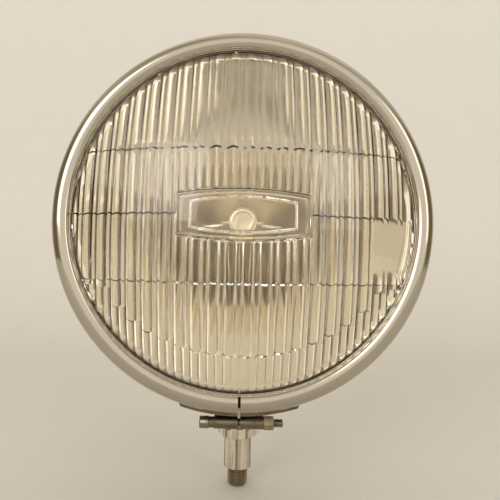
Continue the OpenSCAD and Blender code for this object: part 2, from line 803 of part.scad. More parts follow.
clamp_rim();
left_lug();
right_lug();
bridge_plate();
clamp_screw();
screw_collar();
clamp_nut();
front_lens();
reflector();
filament();
filament_posts();
filament_shield();
shield_stem();
terminal_cups();
terminal_blades();
seal_ring();
lamp_bowl();
cable_grommet();
mounting_foot();
foot_rivets();
inner_seat();
outer_saddle();
lock_washer();
swivel_stud();
lock_nut();
long_nut();
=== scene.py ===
# %% [markdown]
# # Dressing a round car lamp
# The lamp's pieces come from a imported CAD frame: every node has its real size and place, and its
# object sits at the origin. This file keeps that frame and gives it its looks. Pieces whose
# CAD mesh is too plain for a close view get a finer surface in the same place: the pressed
# glass, the silvered dish, the shield, the rim, the bowl, the nuts and the threads.
# %% Load the fixed frame
import json
import math

import bmesh
import bpy
import numpy as np
from mathutils import Matrix, Vector


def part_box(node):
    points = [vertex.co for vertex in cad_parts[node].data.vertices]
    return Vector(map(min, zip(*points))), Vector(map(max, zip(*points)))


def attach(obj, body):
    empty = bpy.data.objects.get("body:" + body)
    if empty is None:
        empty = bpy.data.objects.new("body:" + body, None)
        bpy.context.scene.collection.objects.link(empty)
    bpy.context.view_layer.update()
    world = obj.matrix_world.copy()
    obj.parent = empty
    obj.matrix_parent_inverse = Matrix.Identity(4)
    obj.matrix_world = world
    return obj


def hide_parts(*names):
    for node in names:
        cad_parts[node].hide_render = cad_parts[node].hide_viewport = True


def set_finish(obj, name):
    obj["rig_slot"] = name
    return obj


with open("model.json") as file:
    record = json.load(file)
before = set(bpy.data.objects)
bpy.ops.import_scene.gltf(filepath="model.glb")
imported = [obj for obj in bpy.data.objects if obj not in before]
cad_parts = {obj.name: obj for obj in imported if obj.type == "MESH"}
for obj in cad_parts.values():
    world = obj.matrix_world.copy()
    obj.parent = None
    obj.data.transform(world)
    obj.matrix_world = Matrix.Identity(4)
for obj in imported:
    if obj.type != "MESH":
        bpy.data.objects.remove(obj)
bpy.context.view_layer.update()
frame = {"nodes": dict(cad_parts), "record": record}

nodes = frame["nodes"]
print("nodes in the frame:", len(nodes))

# %% [markdown]
# ## The lamp's own axis
# The glass, rim and bowl are turned about one line that runs front to back. It is easiest to
# draw them with a distance r from that line, a depth t behind the rim's widest circle and an
# angle a round the line. All sizes here are in millimetres, and they come from the frame's boxes
# where a box can give them.
# %% Places taken from the frame
MM = 0.001


def node_box(name):
    """Lowest and highest corner of a CAD node, in millimetres."""
    low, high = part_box(name)
    return np.array(low) / MM, np.array(high) / MM


glass_low, glass_high = node_box("front_lens")
rim_low, rim_high = node_box("clamp_rim")
bowl_low, bowl_high = node_box("lamp_bowl")

unit_r = round((glass_high[0] - glass_low[0]) / 2, 2)
axis_z = round((glass_high[2] + glass_low[2]) / 2, 2)
rim_r = round((rim_high[0] - rim_low[0]) / 2, 2)
bead_r = 4.6
rim_y = round(rim_low[1] + bead_r, 1)
lens_back = round(glass_high[1] - rim_y, 2)
lens_rise = round(rim_y - glass_low[1], 2)
rim_back = round(rim_high[1] - rim_y, 2)
print("unit radius", unit_r, "rim radius", rim_r, "axis height", axis_z, "rim plane", rim_y)


def around_axis(r, t, a):
    """Turns distance, depth and angle into points. Angle 0 is the bottom of the lamp."""
    r, t, a = np.broadcast_arrays(np.asarray(r, float), t, a)
    return np.stack([r * np.sin(a), rim_y + t, axis_z - r * np.cos(a)], axis=-1)


# %% [markdown]
# ## From a grid of points to a piece
# Each new surface is a numpy grid of points. A helper turns such grids into quads, welds what
# meets, such as a pole, turns the faces outwards and lets the piece ride on its CAD body. The
# signed volume of a closed mesh is positive when its faces point outwards, so its sign tells
# whether they have to be turned round.
# %% Mesh helpers
def grid_quads(rows, columns, close_rows=False, close_columns=False):
    """Quads between neighbouring points of a grid that is stored row by row."""
    index = np.arange(rows * columns).reshape(rows, columns)
    if close_rows:
        index = np.vstack([index, index[:1]])
    if close_columns:
        index = np.hstack([index, index[:, :1]])
    corners = [index[:-1, :-1], index[1:, :-1], index[1:, 1:], index[:-1, 1:]]
    return np.stack(corners, axis=-1).reshape(-1, 4)


def signed_volume(mesh):
    """Six times the volume inside a mesh, counted with the direction of its faces."""
    mesh.calc_loop_triangles()
    corners = np.empty(len(mesh.loop_triangles) * 3, np.int32)
    mesh.loop_triangles.foreach_get("vertices", corners)
    places = np.empty(len(mesh.vertices) * 3, np.float32)
    mesh.vertices.foreach_get("co", places)
    a, b, c = places.reshape(-1, 3).astype(float)[corners.reshape(-1, 3)].transpose(1, 0, 2)
    return float(np.einsum("ij,ij->i", a, np.cross(b, c)).sum())


def make_piece(name, points, faces, body, slot, replaced, sharp_degrees=35, weld=2e-6):
    """Builds a mesh piece from points in millimetres and puts it on its CAD body."""
    mesh = bpy.data.meshes.new(name)
    mesh.from_pydata((points * MM).tolist(), [], [list(face) for face in faces])
    work = bmesh.new()
    work.from_mesh(mesh)
    bmesh.ops.remove_doubles(work, verts=work.verts, dist=weld)
    bmesh.ops.dissolve_degenerate(work, edges=work.edges, dist=1e-8)
    bmesh.ops.recalc_face_normals(work, faces=work.faces)
    work.to_mesh(mesh)
    work.free()
    if signed_volume(mesh) < 0:
        mesh.flip_normals()
    mesh.polygons.foreach_set("use_smooth", [True] * len(mesh.polygons))
    mesh.set_sharp_from_angle(angle=math.radians(sharp_degrees))
    piece = bpy.data.objects.new(name, mesh)
    bpy.context.scene.collection.objects.link(piece)
    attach(piece, body)
    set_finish(piece, slot)
    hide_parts(*replaced)
    print(name, len(mesh.polygons), "faces")
    return piece


def stack_grids(*grids):
    """Joins several (points, quads) grids into one list of points and one of faces."""
    points, faces, start = [], [], 0
    for grid_points, quads in grids:
        points.append(grid_points.reshape(-1, 3))
        faces.extend((np.asarray(quads) + start).tolist())
        start += len(points[-1])
    return np.vstack(points), faces


# %% Profile helpers
def arc(centre, radius, first, last, steps):
    """Points along a circle from one angle to another, in degrees."""
    a = np.radians(np.linspace(first, last, steps + 1))
    return np.stack([centre[0] + radius * np.cos(a), centre[1] + radius * np.sin(a)], axis=1)


def soften(corners, radius, steps=4):
    """Rounds each corner of an open outline with a curve that starts radius before it.

    The curve is a quadratic one: it leaves along one side and arrives along the other."""
    corners = np.asarray(corners, float)
    radius = np.broadcast_to(radius, len(corners))
    share = np.linspace(0, 1, steps + 1)[:, None]
    outline = []
    for i, corner in enumerate(corners):
        if radius[i] == 0 or i in (0, len(corners) - 1):
            outline.append(corner[None])
            continue
        before = corners[i - 1] - corner
        after = corners[i + 1] - corner
        a = corner + before / np.linalg.norm(before) * min(radius[i], np.linalg.norm(before) / 2)
        b = corner + after / np.linalg.norm(after) * min(radius[i], np.linalg.norm(after) / 2)
        outline.append((1 - share) ** 2 * a + 2 * share * (1 - share) * corner + share**2 * b)
    return np.vstack(outline)


def sheet_outline(middle, wall):
    """Outline of bent sheet metal: its middle line moved half a wall each way, with round ends."""
    cap_steps = 6
    way = np.gradient(middle, axis=0)
    way /= np.linalg.norm(way, axis=1)[:, None]
    side = np.stack([-way[:, 1], way[:, 0]], axis=1) * wall / 2
    turn = np.linspace(0, math.pi, cap_steps + 1)[1:-1, None]
    far = middle[-1] + side[-1] * np.cos(turn) + way[-1] * wall / 2 * np.sin(turn)
    near = middle[0] - side[0] * np.cos(turn) - way[0] * wall / 2 * np.sin(turn)
    return np.vstack([middle + side, far, (middle - side)[::-1], near])


def turned(profile, segments):
    """A closed solid of revolution from a closed profile of distance and depth."""
    a = np.linspace(0, 2 * math.pi, segments, endpoint=False)[None]
    points = around_axis(profile[:, :1], profile[:, 1:], a)
    return points, grid_quads(len(profile), segments, close_rows=True, close_columns=True)


# %% [markdown]
# ## Shader maths as plain expressions
# Blender's node trees are easier to read as sums than as a list of nodes. A small class wraps a
# socket and adds a Math node for each sign in an expression, and one method of the material
# makes every other node: first its settings, then its inputs.
# %% A small language for materials
class Wire:
    """An output socket that can stand in an expression."""

    def __init__(self, finish, socket):
        self.finish = finish
        self.socket = socket

    def sum(self, operation, *values):
        return self.finish.node("ShaderNodeMath", {"operation": operation}, list(values))

    def __add__(self, other):
        return self.sum("ADD", self, other)

    def __radd__(self, other):
        return self.sum("ADD", other, self)

    def __sub__(self, other):
        return self.sum("SUBTRACT", self, other)

    def __rsub__(self, other):
        return self.sum("SUBTRACT", other, self)

    def __mul__(self, other):
        return self.sum("MULTIPLY", self, other)

    def __rmul__(self, other):
        return self.sum("MULTIPLY", other, self)

    def rises(self, low, high):
        """0 below low, 1 above high, and a soft ramp between."""
        settings = {"interpolation_type": "SMOOTHSTEP"}
        return self.finish.node("ShaderNodeMapRange", settings, [self, low, high])


class Finish:
    """A node tree that is written as Python: a material's, or the world's."""

    def __init__(self, tree):
        self.tree = tree
        tree.nodes.clear()

    def node(self, kind, settings=None, inputs=(), output=0):
        made = self.tree.nodes.new(kind)
        for name, value in (settings or {}).items():
            setattr(made, name, value)
        pairs = inputs.items() if isinstance(inputs, dict) else enumerate(inputs)
        for name, value in pairs:
            if isinstance(value, Wire):
                self.tree.links.new(value.socket, made.inputs[name])
            else:
                if isinstance(value, tuple) and made.inputs[name].type == "RGBA":
                    value = (*value, 1.0)
                made.inputs[name].default_value = value
        return Wire(self, made.outputs[output]) if made.outputs else made

    def place(self):
        """Where a point of the surface is, in metres in the lamp's frame."""
        return self.node("ShaderNodeTexCoord", output="Object")

    def noise(self, size_mm, detail, where=None):
        """Cloudy noise from 0 to 1 whose blobs are about size_mm across."""
        inputs = {"Vector": where or self.place(), "Scale": 1 / (size_mm * MM),
                  "Detail": detail}
        return self.node("ShaderNodeTexNoise", inputs=inputs)

    def mix(self, share, first, second):
        """Blends two colours."""
        inputs = {0: share, 6: first, 7: second}
        return self.node("ShaderNodeMix", {"data_type": "RGBA"}, inputs, output=2)

    def bump(self, height, depth_mm):
        """Bends the shading normal as if the surface rose by height times depth_mm."""
        inputs = {"Strength": 1.0, "Distance": depth_mm * MM, "Height": height}
        return self.node("ShaderNodeBump", inputs=inputs)

    def mapped(self, scale, shift_mm):
        """Object coordinates with each axis scaled and then moved, for streaks and distances."""
        shift = tuple(step * MM for step in shift_mm)
        inputs = {"Vector": self.place(), "Scale": scale, "Location": shift}
        return self.node("ShaderNodeMapping", inputs=inputs)

    def principled(self, **inputs):
        shader = self.node("ShaderNodeBsdfPrincipled", inputs={
            name.replace("_", " ").title().replace("Ior", "IOR"): value
            for name, value in inputs.items()})
        self.node("ShaderNodeOutputMaterial", inputs=[shader])
        return shader


def new_finish(name):
    material = bpy.data.materials.new(name)
    material.use_nodes = True
    return material, Finish(material.node_tree)


# %% [markdown]
# ## The camera
# The photograph was taken from close by: fitting a camera to the rim's oval, the rows of flutes
# and the nuts gives a distance of about 200 mm, slightly below the lamp's axis and a little to
# its left. A near camera matters here, because it makes the stud look small behind the rim.
# %% Camera at the photograph's viewpoint
frame_px = 500
focal_px = 478
camera_distance = 200 * MM
camera_below = math.radians(4.6)
camera_left = math.radians(0.3)
camera_roll = math.radians(1.2)
lamp_px = (243.1, 217.6)

lamp_centre = Vector((0, rim_y, axis_z)) * MM
away = Vector((-math.cos(camera_below) * math.sin(camera_left),
               -math.cos(camera_below) * math.cos(camera_left),
               -math.sin(camera_below)))
right = (-away).cross(Vector((0, 0, 1))).normalized()
up = right.cross(-away)
camera_x = right * math.cos(camera_roll) + up * math.sin(camera_roll)
camera_y = up * math.cos(camera_roll) - right * math.sin(camera_roll)

camera_data = bpy.data.cameras.new("photo_camera")
camera_data.sensor_width = 36
camera_data.lens = camera_data.sensor_width * focal_px / frame_px
camera_data.shift_x = (frame_px / 2 - lamp_px[0]) / frame_px
camera_data.shift_y = (lamp_px[1] - frame_px / 2) / frame_px
camera_data.clip_start = 0.005
camera = bpy.data.objects.new("photo_camera", camera_data)
camera.matrix_world = Matrix((camera_x, camera_y, away)).transposed().to_4x4()
camera.location = lamp_centre + away * camera_distance
bpy.context.scene.collection.objects.link(camera)
bpy.context.scene.camera = camera

# %% [markdown]
# ## Floor, backdrop and light
# The stage is one pale sheet that runs under the lamp and bends up behind it. Chrome and glass
# show what is round them, so the world is a room with tones of its own for them to mirror, and
# the three lamps only shape the rest.
# %% Stage
floor_z = round(node_box("swivel_stud")[0][2], 2) - 0.05


def stage_sheet():
    """A floor that turns up into a wall: a line, a quarter circle and a line, carried along x."""
    half_w, front_y, bend_y, bend_r, top_z = 700, -2400, 300, 300, 1500
    bend = arc((bend_y, floor_z + bend_r), bend_r, -90, 0, 24)
    line = np.vstack([[[front_y, floor_z]], bend, [[bend_y + bend_r, top_z]]])
    points = np.empty((len(line), 2, 3))
    points[:, :, 0] = np.array([-half_w, half_w], float)
    points[:, :, 1:] = line[:, None]
    mesh = bpy.data.meshes.new("backdrop")
    quads = grid_quads(len(line), 2)[:, ::-1]
    mesh.from_pydata((points.reshape(-1, 3) * MM).tolist(), [], quads.tolist())
    mesh.polygons.foreach_set("use_smooth", [True] * len(mesh.polygons))
    sheet = bpy.data.objects.new("backdrop", mesh)
    bpy.context.scene.collection.objects.link(sheet)
    return sheet


backdrop = stage_sheet()
material, paper = new_finish("stage_paper")
grain = paper.noise(40, 3.0)
paper.principled(base_color=paper.mix(grain, (0.76, 0.745, 0.715), (0.79, 0.775, 0.745)),
                 roughness=0.9)
backdrop.data.materials.append(material)

# %% Lights and room
def soft_box(name, place, size, watts):
    """A rectangular warm lamp that looks at the car lamp's centre."""
    data = bpy.data.lights.new(name, "AREA")
    data.shape = "RECTANGLE"
    data.size, data.size_y = size
    data.energy = watts
    data.color = (1.0, 0.97, 0.92)
    lamp = bpy.data.objects.new(name, data)
    lamp.location = place
    aim = (lamp_centre - lamp.location).to_track_quat("-Z", "Y")
    lamp.rotation_euler = aim.to_euler()
    bpy.context.scene.collection.objects.link(lamp)


soft_box("key_box", Vector((-0.85, -1.25, 0.6)), (0.9, 0.9), 4.4)
soft_box("fill_box", Vector((0.95, -1.1, 0.5)), (0.5, 0.8), 1.9)
soft_box("top_box", Vector((0.1, 0.05, 1.3)), (1.5, 1.1), 2.0)

world = bpy.data.worlds.new("studio")
bpy.context.scene.world = world
world.use_nodes = True
room = Finish(world.node_tree)
view_way = room.node("ShaderNodeTexCoord", output="Generated")
parts = room.node("ShaderNodeSeparateXYZ", inputs=[view_way])
across, front, height = (Wire(room, socket) for socket in parts.socket.node.outputs)


def patch(centre, reach):
    """1 near a direction, falling softly to 0 at an angle of reach degrees from it."""
    way = tuple(Vector(centre).normalized())
    along = room.node("ShaderNodeVectorMath", {"operation": "DOT_PRODUCT"}, [view_way, way],
                      output=1)
    edge = math.cos(math.radians(reach))
    return along.rises(edge, edge + (1 - edge) * 0.85)


# A pale room with one bright window, a dim ceiling, dim sides and someone at the camera
front_wall = patch((0.05, -1.0, 0.1), 60)
ceiling = patch((0, -0.3, 0.95), 52)
bright_window = patch((-0.42, -0.85, 0.32), 17)
left_side = patch((-0.97, -0.24, 0.05), 46)
right_side = patch((0.97, -0.24, 0.1), 42)
aside = across + 0.02
standing = (1 - aside.rises(0.03, 0.09)) * aside.rises(-0.09, -0.03)
standing = standing * (1 - front.rises(-0.8, -0.4)) * (1 - height.rises(0.1, 0.3))
glow = 0.74 + front_wall * 0.36 + bright_window * 1.5 - ceiling * 0.26
glow = glow - (left_side + right_side) * 0.5 - standing * 0.06
amber, cream = (1.0, 0.76, 0.45), (1.0, 0.945, 0.84)
tone = room.mix(glow.rises(0.1, 0.95), amber, cream)
shine = room.node("ShaderNodeBackground", inputs=[tone, glow])
room.node("ShaderNodeOutputWorld", inputs=[shine])
bpy.context.scene.view_settings.view_transform = "Standard"

# %% [markdown]
# ## Chrome
# Chrome is a mirror that is never quite clean: its roughness drifts where hands have wiped it,
# its plating waves a little, and old plating has small dark pits.
# %% Chrome
def chrome_finish(name, colour):
    """A mirror of one colour with smears, waves and clusters of pits."""
    clean, dull, pits, wave_mm = 0.05, 0.16, 0.5, 0.006
    material, f = new_finish(name)
    smear = f.noise(22, 3.0).rises(0.35, 0.75)
    fine = f.noise(1.6, 3.0)
    cells = f.node("ShaderNodeTexVoronoi", {"feature": "F1"},
                   {"Vector": f.place(), "Scale": 1 / (3.2 * MM), "Randomness": 1.0})
    spot = 1 - cells.rises(0.05, 0.11)
    where = f.noise(26, 2.0).rises(0.55, 0.7)
    pit = spot * where * pits
    tint = f.mix(smear * 0.35, colour, tuple(c * 0.9 for c in colour))
    shade = f.mix(pit, tint, (0.16, 0.11, 0.07))
    rough = clean + (dull - clean) * smear + fine * 0.03 + pit * 0.4
    height = f.noise(9, 2.0)
    f.principled(base_color=shade, metallic=1.0, roughness=rough,
                 normal=f.bump(height, wave_mm))
    return material


chrome = chrome_finish("chrome_plate", (0.52, 0.475, 0.40))


# %% Nut plating
stud_low, stud_high = node_box("swivel_stud")
stud_y = (stud_low[1] + stud_high[1]) / 2
long_nut_flats, thin_nut_flats = 12.7, 17.46


def drawn_plate_painted_reflections(name, across_flats, shift_mm):
    """Plated bar stock with painted reflections: noise that is stretched along z gives dark
    streaks, partly the streaks of the drawn bar and partly painted reflections of dark
    surroundings.

    A corner lies further from the stud's axis than a flat does, so a ramp on that distance
    draws a painted dark reflection line along each corner. The shift gives each nut streaks
    of its own."""
    material, f = new_finish(name)
    along = f.mapped((1, 1, 0.05), (shift_mm, 0, 0))
    # Dark streaks along z: partly the drawn bar's own, partly painted reflections
    streak_and_painted_reflection = f.noise(0.8, 3.0, where=along).rises(0.45, 0.7)
    broad_streak_and_painted_reflection = f.noise(3.5, 2.0, where=along).rises(0.4, 0.65)
    spot = f.noise(1.2, 4.0).rises(0.62, 0.72)
    from_axis = f.mapped((1, 1, 0), (0, -stud_y, 0))
    far = f.node("ShaderNodeVectorMath", {"operation": "LENGTH"}, [from_axis], output=1)
    half = across_flats / 2 * MM
    line_from, line_full = 1.085, 1.122
    # Painted dark reflection line along each corner of the hexagon
    corner = far.rises(half * line_from, half * line_full)
    # The dark share mixes wear spots with the painted reflection streaks and the painted corner
    # line
    dark = 1 - (1 - streak_and_painted_reflection * 0.6) * (1 - broad_streak_and_painted_reflection * 0.35) * (1 - spot * 0.6) * (1 - corner * 0.8)
    height = f.noise(0.5, 2.0, where=along) + f.noise(2.5, 1.0, where=along) * 2
    f.principled(base_color=f.mix(dark, (0.95, 0.89, 0.76), (0.17, 0.135, 0.085)), metallic=1.0,
                 roughness=0.1 + 0.22 * dark, normal=f.bump(height, 0.03))
    return material


bright_plate = drawn_plate_painted_reflections("bright_plate", long_nut_flats, 0)
thin_nut_plate = drawn_plate_painted_reflections("thin_nut_plate", thin_nut_flats, 40)


# %% Steel and brass
def worn_metal(name, colour, stain, clean=0.25, dull=0.5, stain_share=0.6):
    """Bare or thinly plated metal: stain gathers in clouds, and fine grain breaks its shine."""
    grain_mm = 0.02
    material, f = new_finish(name)
    cloud = f.noise(5, 4.0).rises(0.45, 0.72) * stain_share
    fine = f.noise(0.5, 2.0)
    shade = f.mix(cloud, colour, stain)
    rough = clean + (dull - clean) * cloud + fine * 0.12
    f.principled(base_color=shade, metallic=1.0 - cloud * 0.4, roughness=rough,
                 normal=f.bump(fine, grain_mm))
    return material


# The lugs' plate is dull and stained, and its very dark colour is also painted shade from under the
# lamp
worn_plate_and_painted_shade = worn_metal("worn_plate_and_painted_shade", (0.20, 0.17, 0.12), (0.09, 0.068, 0.04), clean=0.2, dull=0.45,
                        stain_share=0.8)
screw_metal = worn_metal("plated_screw", (0.27, 0.235, 0.17), (0.11, 0.085, 0.05), clean=0.22)
nut_brass = worn_metal("brass_nut", (0.36, 0.31, 0.19), (0.17, 0.13, 0.07), clean=0.24)
blade_brass = worn_metal("terminal_brass", (0.74, 0.60, 0.32), (0.40, 0.28, 0.14))
plain_steel = worn_metal("plain_steel", (0.46, 0.45, 0.43), (0.22, 0.17, 0.12), clean=0.32)
thread_steel = worn_metal("thread_steel", (0.29, 0.24, 0.16), (0.15, 0.10, 0.05), clean=0.32,
                          stain_share=0.85)
post_wire = worn_metal("nickel_wire", (0.68, 0.66, 0.61), (0.5, 0.46, 0.4), clean=0.18, dull=0.3)
lamp_wire = worn_metal("tungsten", (0.34, 0.33, 0.33), (0.22, 0.21, 0.22), clean=0.35)
shield_metal = worn_metal("shield_metal", (0.86, 0.76, 0.58), (0.76, 0.63, 0.42), clean=0.2,
                          dull=0.4)

# %% Rubber
def rubber():
    material, f = new_finish("black_rubber")
    bloom = f.noise(6, 4.0).rises(0.4, 0.75)
    black, grey = (0.022, 0.022, 0.022), (0.07, 0.068, 0.064)
    f.principled(base_color=f.mix(bloom * 0.5, black, grey), roughness=0.62 + 0.18 * bloom,
                 normal=f.bump(f.noise(0.35, 3.0), 0.03))
    return material


# %% Glass and silver
def pressed_glass():
    """Clear glass with a faint straw tint that drifts, and a trace of haze."""
    material, f = new_finish("clear_glass")
    tint = f.mix(f.noise(30, 2.0) * 0.5, (0.993, 0.984, 0.952), (0.988, 0.974, 0.932))
    f.principled(base_color=tint, roughness=0.004 + 0.012 * f.noise(4, 3.0).rises(0.5, 0.8),
                 transmission_weight=1.0, ior=1.5, normal=f.bump(f.noise(9, 1.0), 0.003))
    return material


def silvering():
    """Aluminium laid on glass: a warm mirror whose haze comes in clouds."""
    material, f = new_finish("silvered_glass")
    haze = f.noise(18, 3.0).rises(0.45, 0.8)
    f.principled(base_color=f.mix(haze * 0.6, (0.94, 0.905, 0.83), (0.90, 0.85, 0.75)),
                 metallic=1.0, roughness=0.09 + 0.06 * haze,
                 normal=f.bump(f.noise(14, 1.0), 0.004))
    return material


# %% A finish for every slot
finishes = {
    "chrome_plate": chrome, "bright_plate": bright_plate, "plated_screw": screw_metal,
    "brass_nut": nut_brass, "clear_glass": pressed_glass(), "silvered_glass": silvering(),
    "tungsten": lamp_wire, "nickel_wire": post_wire, "shield_metal": shield_metal,
    "terminal_brass": blade_brass, "black_rubber": rubber(), "plain_steel": plain_steel,
    "thread_steel": thread_steel,
}
node_slot = {part["node"]: part["material_slot"] for part in frame["record"]["subparts"]}
for name, node in nodes.items():
    node.data.materials.clear()
    # The lugs, the bridge plate and the screw collar get the dark worn plate with painted shade
    worn_and_painted_shade = name in ("left_lug", "right_lug", "bridge_plate", "screw_collar")
    node.data.materials.append(worn_plate_and_painted_shade if worn_and_painted_shade else finishes[node_slot[name]])


def finish_piece(piece, finish=None):
    piece.data.materials.append(finish or finishes[piece["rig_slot"]])
    return piece


# %% [markdown]
# ## The pressed glass
# Outside, the glass is a smooth dome. Inside, it has upright flutes in five rows: a wide
# lobe and a narrow one side by side, with a sharp valley between. Each row leans like a shallow
# prism, so a small step shows where two rows meet. A plain square grid would blur those
# edges, so the grid's lines run along them instead: level lines follow the row edges, and
# columns stand close together at each valley. The grid is then cut to a circle, and the
# dome and the edge are turned from the same circle of points, which closes the piece.
# %% The glass's own sizes
# The edge, the wall and the dome
edge_flat = 2.2
lens_wall = 2.4
cavity_r = unit_r - 0.9
flange_r = unit_r - 4.4
lobe_end_r = unit_r - 1.3
dome_r = unit_r - edge_flat
dome_ball = (dome_r**2 + lens_rise**2) / (2 * lens_rise)
dome_mid = dome_ball - lens_rise
# The lobes, whose widths are counted in cells
cell_w = 1.1
lobe_cells = 6
wide_cells = 4
fine_cells = 3
fine_half = 8 * fine_cells * cell_w
rise_share = 0.13
fullness = 2.7
ending_w = 7
# The rows: their height, the ellipse that the staircase follows, and how much each row leans
row_h = 26.0
staircase_half = (65.7, 55.0)
row_slant = (0.7, 0.55, 0.55, 0.55, 0.3)
# The window and the pad, and each raised line's distance inside, height and half width
window_half = (26.6, 10.5)
window_bow = 2.1
frame_half = (20.6, 6.9)
frame_bow = window_bow * 0.9
pad_from = 51.6
pad_low = -24.4
window_lines = ((0.2, 0.55, 0.6), (1.7, 0.3, 0.55))
frame_line = (0, 0.5, 0.6)
pad_line = (0.2, 0.25, 0.5)


def dome_depth(r, inset=0.0):
    """Depth of a sphere that is inset millimetres inside the dome's outer face."""
    return dome_mid - np.sqrt((dome_ball - inset) ** 2 - np.asarray(r) ** 2)


def arch(share):
    """A parabola that is 0 at both ends of a lobe and 1 on its crest."""
    return 4 * share * (1 - share)


def lobe_curve(share):
    """A fuller arch: 1 less a power of the distance from the crest, flat on top and steep below."""
    return 1 - np.abs(2 * share - 1) ** fullness


def ridge(inside, line):
    """A rounded line at some distance inside an edge: high on its middle, 0 from its sides on."""
    place, high, half_width = line
    return high * np.clip(1 - ((inside - place) / half_width) ** 2, 0, 1) ** 2


def step(distance, half_width):
    """0 on one side of an edge and 1 on the other, with a smooth rise between."""
    share = np.clip(distance / (2 * half_width) + 0.5, 0, 1)
    return share * share * (3 - 2 * share)


def scatter(number):
    """A fixed fraction from 0 to 1 for each whole number, so that no two lobes are alike."""
    wave = np.sin(number * 12.9898) * 43758.5453
    return wave - np.floor(wave)


# %% Lobes across the glass
def lobes(cell):
    """The lobe that each cell belongs to: its number, where the cell lies in it, and its width.

    Cells are counted from the middle. Of each six, four make a wide lobe and two a narrow."""
    pitch = np.floor(cell / lobe_cells)
    within = cell - pitch * lobe_cells
    wide = within < wide_cells
    start = np.where(wide, 0, wide_cells)
    width = np.where(wide, wide_cells, lobe_cells - wide_cells)
    return pitch * 2 + ~wide, (within - start) / width, width


def lobe_height(cell, fine, sunk):
    """Height of the lobe over a place, and the lobe's number.

    The rise is a fixed share of the width, so all lobes have equally steep sides. Near its end
    a lobe sinks into the dome by a share of its rise, so its crest ends last, in an arch."""
    number, share, width = lobes(cell)
    fine_number = np.floor(cell / fine_cells)
    share = np.where(fine, cell / fine_cells - fine_number, share)
    number = np.where(fine, fine_number, number)
    rise = rise_share * cell_w * np.where(fine, fine_cells, width)
    return rise * np.clip(lobe_curve(share) - sunk, 0, None), number


# %% Row edges that follow the lobes
def row_edges(cell, x):
    """Height of the four edges between the five rows at each column, with a scallop per lobe."""
    plain_number, plain_share, _ = lobes(cell)
    scallop = arch(plain_share)
    middle = (np.floor(cell / lobe_cells) + 0.5) * lobe_cells * cell_w
    curve = np.sqrt(np.clip(1 - (middle / staircase_half[0]) ** 2, 0, 1))
    uneven = 0.3 * scatter(plain_number + 5) - 0.15
    shallow, deep, stair, least_row = 0.7, 0.9, 1.4, 2.4
    first = row_h + deep * scallop + uneven
    second = shallow * scallop - 0.3 + uneven
    third = -row_h - deep * scallop + uneven
    last = np.minimum(-staircase_half[1] * curve - stair * scallop, -row_h - least_row)
    return np.stack([first, second, third, last])


def spread(*pieces):
    """Even steps from one number to the next: each piece is a start, an end and a count."""
    return np.concatenate([np.linspace(low, high, count, endpoint=False)
                           for low, high, count in pieces] + [[pieces[-1][1]]])


# Upright lines, in cells from the start of a wide lobe: close together beside each valley
cell_lines = np.array([0.02, 0.12, 0.32, 0.65, 1.1, 1.7, 2.3, 2.75, 2.98, 3.02, 3.25, 3.5,
                       3.75, 3.9, 3.98, 4.02, 4.14, 4.35, 4.7, 5.3, 5.65, 5.86, 5.98])
# Level lines lie close together where the window's raised outlines cross a row
row_shares = (spread((0, 0.25, 14), (0.25, 0.988, 12)),
              spread((0.012, 0.56, 7), (0.56, 0.85, 27), (0.85, 0.988, 4)),
              spread((0.012, 0.15, 4), (0.15, 0.44, 27), (0.44, 0.988, 7)),
              spread((0.012, 0.988, 14)), spread((0.012, 0.6, 5), (0.6, 1, 8)))


def glass_grid():
    """Points of the inner face before it is bent: x, z, the row and the share down the row."""
    pitches = np.arange(-11, 11) * lobe_cells
    cell = (pitches[:, None] + cell_lines).reshape(-1)
    near = [side * (half + offset) / cell_w for side in (-1, 1)
            for half in (window_half[0], frame_half[0]) for offset in np.linspace(-0.9, 0.7, 9)]
    cell = np.unique(np.round(np.concatenate([cell, near]), 4))
    x = cell * cell_w
    edges = row_edges(cell, x)
    reach = cavity_r + 1
    circle = np.sqrt(reach**2 - x**2)
    tops = np.vstack([np.maximum(circle, edges[0] + 1), edges])
    bases = np.vstack([edges, np.minimum(-circle, edges[3] - 1)])
    blocks = []
    for row, share in enumerate(row_shares):
        z = tops[row][:, None] + (bases[row] - tops[row])[:, None] * share
        blocks.append((z, np.full_like(z, row), np.broadcast_to(share, z.shape)))
    z, row, share = (np.concatenate([b[i] for b in blocks], axis=1) for i in range(3))
    return np.broadcast_to(x[:, None], z.shape), z, cell[:, None], row, share


# %% Window, pad and depth
def bowed_distance(x, z, half, bow):
    """Distance inside a bowed rectangle: the least distance to its ends and to its long edges."""
    return np.minimum(half[0] - np.abs(x), half[1] - bow * (x / half[0]) ** 2 - np.abs(z))


def fluted_depth(x, z, cell, row, share):
    """Depth of the inner face: the inset dome, plus the lobe's height, plus the row's slant.

    The window and the pad replace that with a smooth face that has a raised outline. At the
    edge the flat back of the glass cuts the lobes off, which ends them in arches."""
    r = np.hypot(x, z)
    root = dome_depth(np.minimum(r, unit_r), lens_wall)
    fine = ((row == 1) & (np.abs(x) < fine_half)) | (row == 4)
    ending = np.clip((lobe_end_r - r) / ending_w, 0, 1)
    height, number = lobe_height(cell, fine, 1 - np.sqrt(1 - (1 - ending) ** 2))
    odd = scatter(number + 31 * row)
    slant = np.choose(row.astype(int), row_slant) * (share - 0.5)
    depth = root + height * (0.93 + 0.14 * odd) + slant

    edge_soft, window_sink, pad_sink = 0.3, 0.2, 0.1
    inside = bowed_distance(x, z, window_half, window_bow)
    depth = depth + (root - window_sink - depth) * step(inside, edge_soft)
    for line in window_lines:
        depth = depth + ridge(inside, line)
    depth = depth + ridge(bowed_distance(x, z, frame_half, frame_bow), frame_line)

    pad = np.minimum(np.minimum(x - pad_from, -z - 0.3), z - pad_low)
    depth = depth + (root - pad_sink - depth) * step(pad, edge_soft) + ridge(pad, pad_line)

    return np.minimum(depth, np.where(r > flange_r, lens_back, np.inf))


